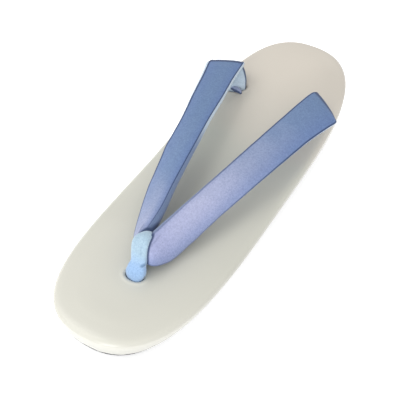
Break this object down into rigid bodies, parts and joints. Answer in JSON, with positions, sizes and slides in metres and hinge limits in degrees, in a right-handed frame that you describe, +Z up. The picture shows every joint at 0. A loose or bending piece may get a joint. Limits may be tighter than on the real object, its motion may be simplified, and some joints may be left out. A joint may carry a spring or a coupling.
{
  "type": "zori sandal",
  "caption": "Zori thong sandal: padded ivory footbed on a black wedge sole, with padded fabric straps that run in a V to a toe loop.",
  "frame": {"origin": "on the floor under the middle of the sandal's length, on its centre line", "axes": "+Y from toe to heel, +Z up, +X to the right of someone at the toe end who looks towards the heel"},
  "size_m": [0.0884, 0.245, 0.0481],
  "materials": {
    "sole": "matt black foam rubber with a fine even tread",
    "footbed": "satin pearl-white coated leathercloth",
    "straps": "fine matt crepe, slate blue fading to pale lavender at the toe",
    "toe_loop": "soft napped sky-blue cloth"
  },
  "bodies": {
    "root": {"sole": "sole", "footbed": "footbed", "straps": "straps", "toe_loop": "toe_loop"}
  },
  "joints": []
}
